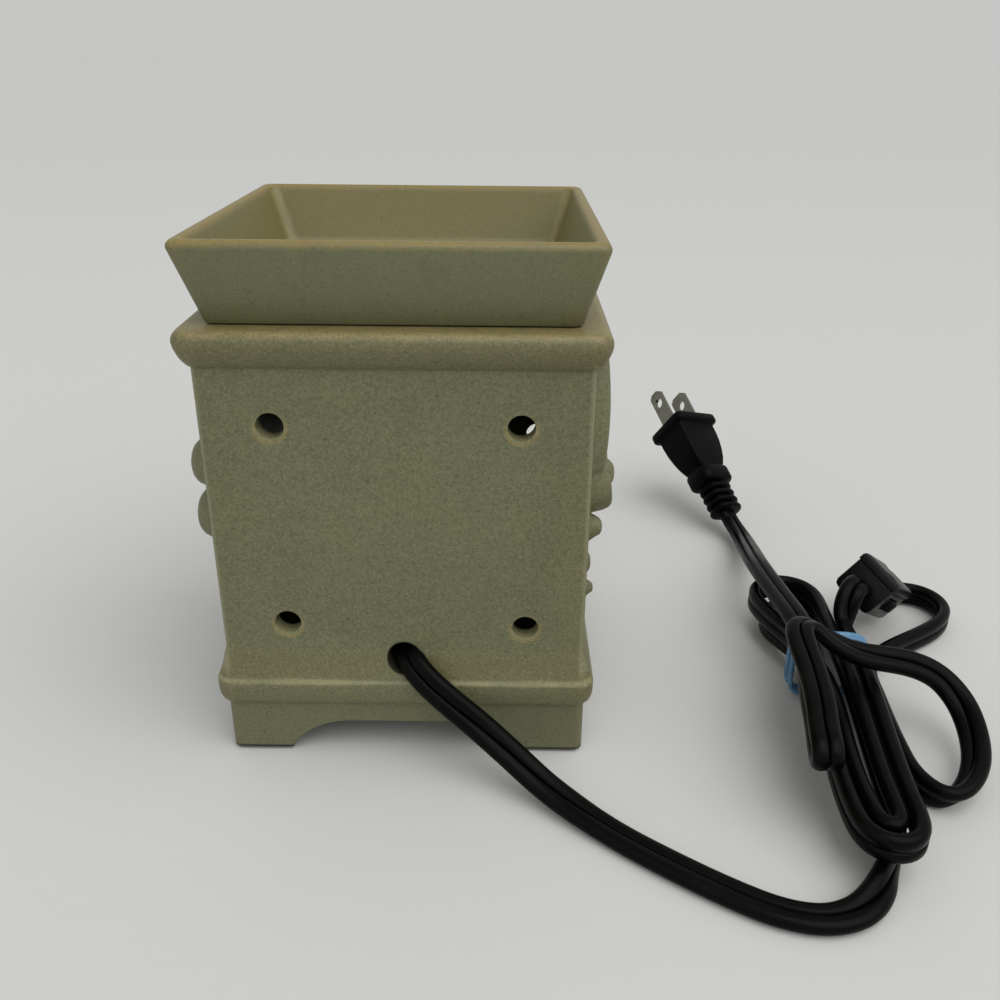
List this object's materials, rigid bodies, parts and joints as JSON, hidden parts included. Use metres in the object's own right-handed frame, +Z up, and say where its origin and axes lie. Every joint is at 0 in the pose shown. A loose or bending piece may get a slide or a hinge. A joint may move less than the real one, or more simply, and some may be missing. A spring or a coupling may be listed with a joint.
{
  "type": "electric wax warmer",
  "caption": "Square glazed ceramic wax warmer on arched feet with scroll relief, a lift-off wax dish over a heating bulb, and a tied flat cord with inline switch and plug.",
  "frame": {"origin": "middle of the housing's and dish's footprint, on the table under the foot pads", "axes": "+Z up; the cord leaves the plain back, which faces +Y; the front faces -Y"},
  "size_m": [0.223, 0.2462, 0.1347],
  "materials": {
    "glaze": "speckled olive glaze, tan where it wears thin",
    "pad": "matte",
    "steel": "zinc plated",
    "brass": "plain",
    "porcelain": "matte white",
    "clamp": "moulded",
    "bulb_glass": "clear",
    "cap": "rolled",
    "tip": "insulator",
    "filament": "wire",
    "cord": "soft sheen, moulded flex",
    "tie": "satin",
    "black_plastic": "moulded",
    "blade": "nickel plated"
  },
  "bodies": {
    "housing": {"body": "glaze", "foot_pads": "pad", "base_plate": "steel", "clamp_strap": "steel", "nut_washer": "steel", "terminal_screws": "steel", "clamp_screw": "steel", "switch_pin": "steel", "switch_screws": "steel", "lamp_nipple": "brass", "nipple_nut": "brass", "holder_shell": "brass", "holder_contact": "brass", "switch_contacts": "brass", "lamp_holder": "porcelain", "cord_clamp": "clamp", "cord_inner": "cord", "lead_wires": "cord", "cord_lead": "cord", "cord_hank": "cord", "cord_feed": "cord", "cord_return": "cord", "cord_tie": "tie", "switch_base": "black_plastic", "switch_cover": "black_plastic", "plug_body": "black_plastic", "plug_blade_hot": "blade", "plug_blade_neutral": "blade"},
    "dish": {"dish": "glaze"},
    "bulb": {"bulb_glass": "bulb_glass", "bulb_cap": "cap", "bulb_tip": "tip", "bulb_stem": "bulb_glass", "bulb_filament": "filament"},
    "wheel": {"switch_wheel": "black_plastic"}
  },
  "joints": [
    {"name": "dish_lift", "type": "slide", "parent": "housing", "child": "dish", "axis": [0, 0, 1], "range_m": [0, 0.06]},
    {"name": "bulb_unscrew", "type": "hinge", "parent": "housing", "child": "bulb", "pos_m": [0, 0, 0.0374], "axis": [0, 0, 1], "range_deg": [0, 1260]},
    {"name": "switch_turn", "type": "hinge", "parent": "housing", "child": "wheel", "pos_m": [-0.14398, -0.01609, 0.01553], "axis": [-0.6686, -0.044, 0.7423], "continuous": true}
  ]
}
